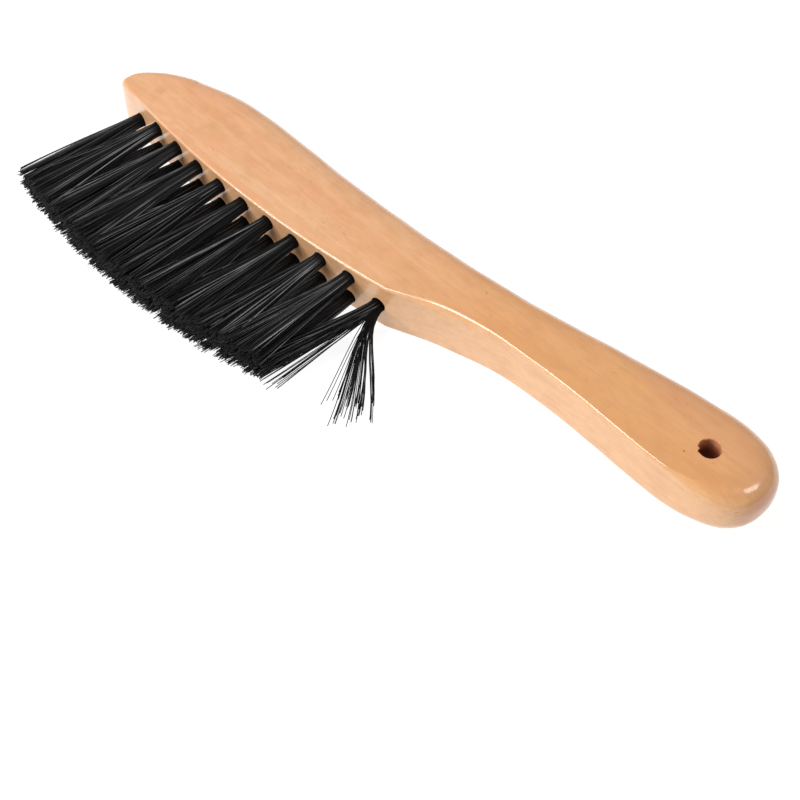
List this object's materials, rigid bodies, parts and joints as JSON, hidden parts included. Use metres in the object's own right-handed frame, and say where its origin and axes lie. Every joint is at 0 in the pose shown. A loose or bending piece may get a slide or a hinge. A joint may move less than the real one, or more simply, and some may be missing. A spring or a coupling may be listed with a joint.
{
  "type": "neck duster brush",
  "caption": "Flat one-piece hardwood duster brush: long soft black tufts along a curved head, a waisted handle and a hanging hole; sweeps hair or dust from skin, cloth or a bench.",
  "frame": {"origin": "middle of the brush seen from above, on the surface it lies on, at the middle of its box's bottom face", "axes": "the brush lies on one flat side of its block; +X runs along the block from the tip of the head to the end of the handle, the bristles point along -Y and the back faces +Y, and +Z is the thickness of the block, up from the lower flat side"},
  "size_m": [0.317, 0.1111, 0.022],
  "materials": {
    "wood": "pale fine-grained hardwood under clear satin lacquer",
    "bristle": "near-black soft filament, faint sheen",
    "anchor_wire": "flat wire, hidden in the tuft holes"
  },
  "bodies": {
    "root": {"wooden_block": "wood", "tuft_tip": "bristle", "tuft_upper_1": "bristle", "tuft_upper_2": "bristle", "tuft_upper_3": "bristle", "tuft_upper_4": "bristle", "tuft_upper_5": "bristle", "tuft_upper_6": "bristle", "tuft_upper_7": "bristle", "tuft_upper_8": "bristle", "tuft_upper_9": "bristle", "tuft_lower_1": "bristle", "tuft_lower_2": "bristle", "tuft_lower_3": "bristle", "tuft_lower_4": "bristle", "tuft_lower_5": "bristle", "tuft_lower_6": "bristle", "tuft_lower_7": "bristle", "tuft_lower_8": "bristle", "tuft_lower_9": "bristle", "tuft_heel": "bristle", "anchor_tip": "anchor_wire", "anchor_upper_1": "anchor_wire", "anchor_upper_2": "anchor_wire", "anchor_upper_3": "anchor_wire", "anchor_upper_4": "anchor_wire", "anchor_upper_5": "anchor_wire", "anchor_upper_6": "anchor_wire", "anchor_upper_7": "anchor_wire", "anchor_upper_8": "anchor_wire", "anchor_upper_9": "anchor_wire", "anchor_lower_1": "anchor_wire", "anchor_lower_2": "anchor_wire", "anchor_lower_3": "anchor_wire", "anchor_lower_4": "anchor_wire", "anchor_lower_5": "anchor_wire", "anchor_lower_6": "anchor_wire", "anchor_lower_7": "anchor_wire", "anchor_lower_8": "anchor_wire", "anchor_lower_9": "anchor_wire", "anchor_heel": "anchor_wire"}
  },
  "joints": []
}
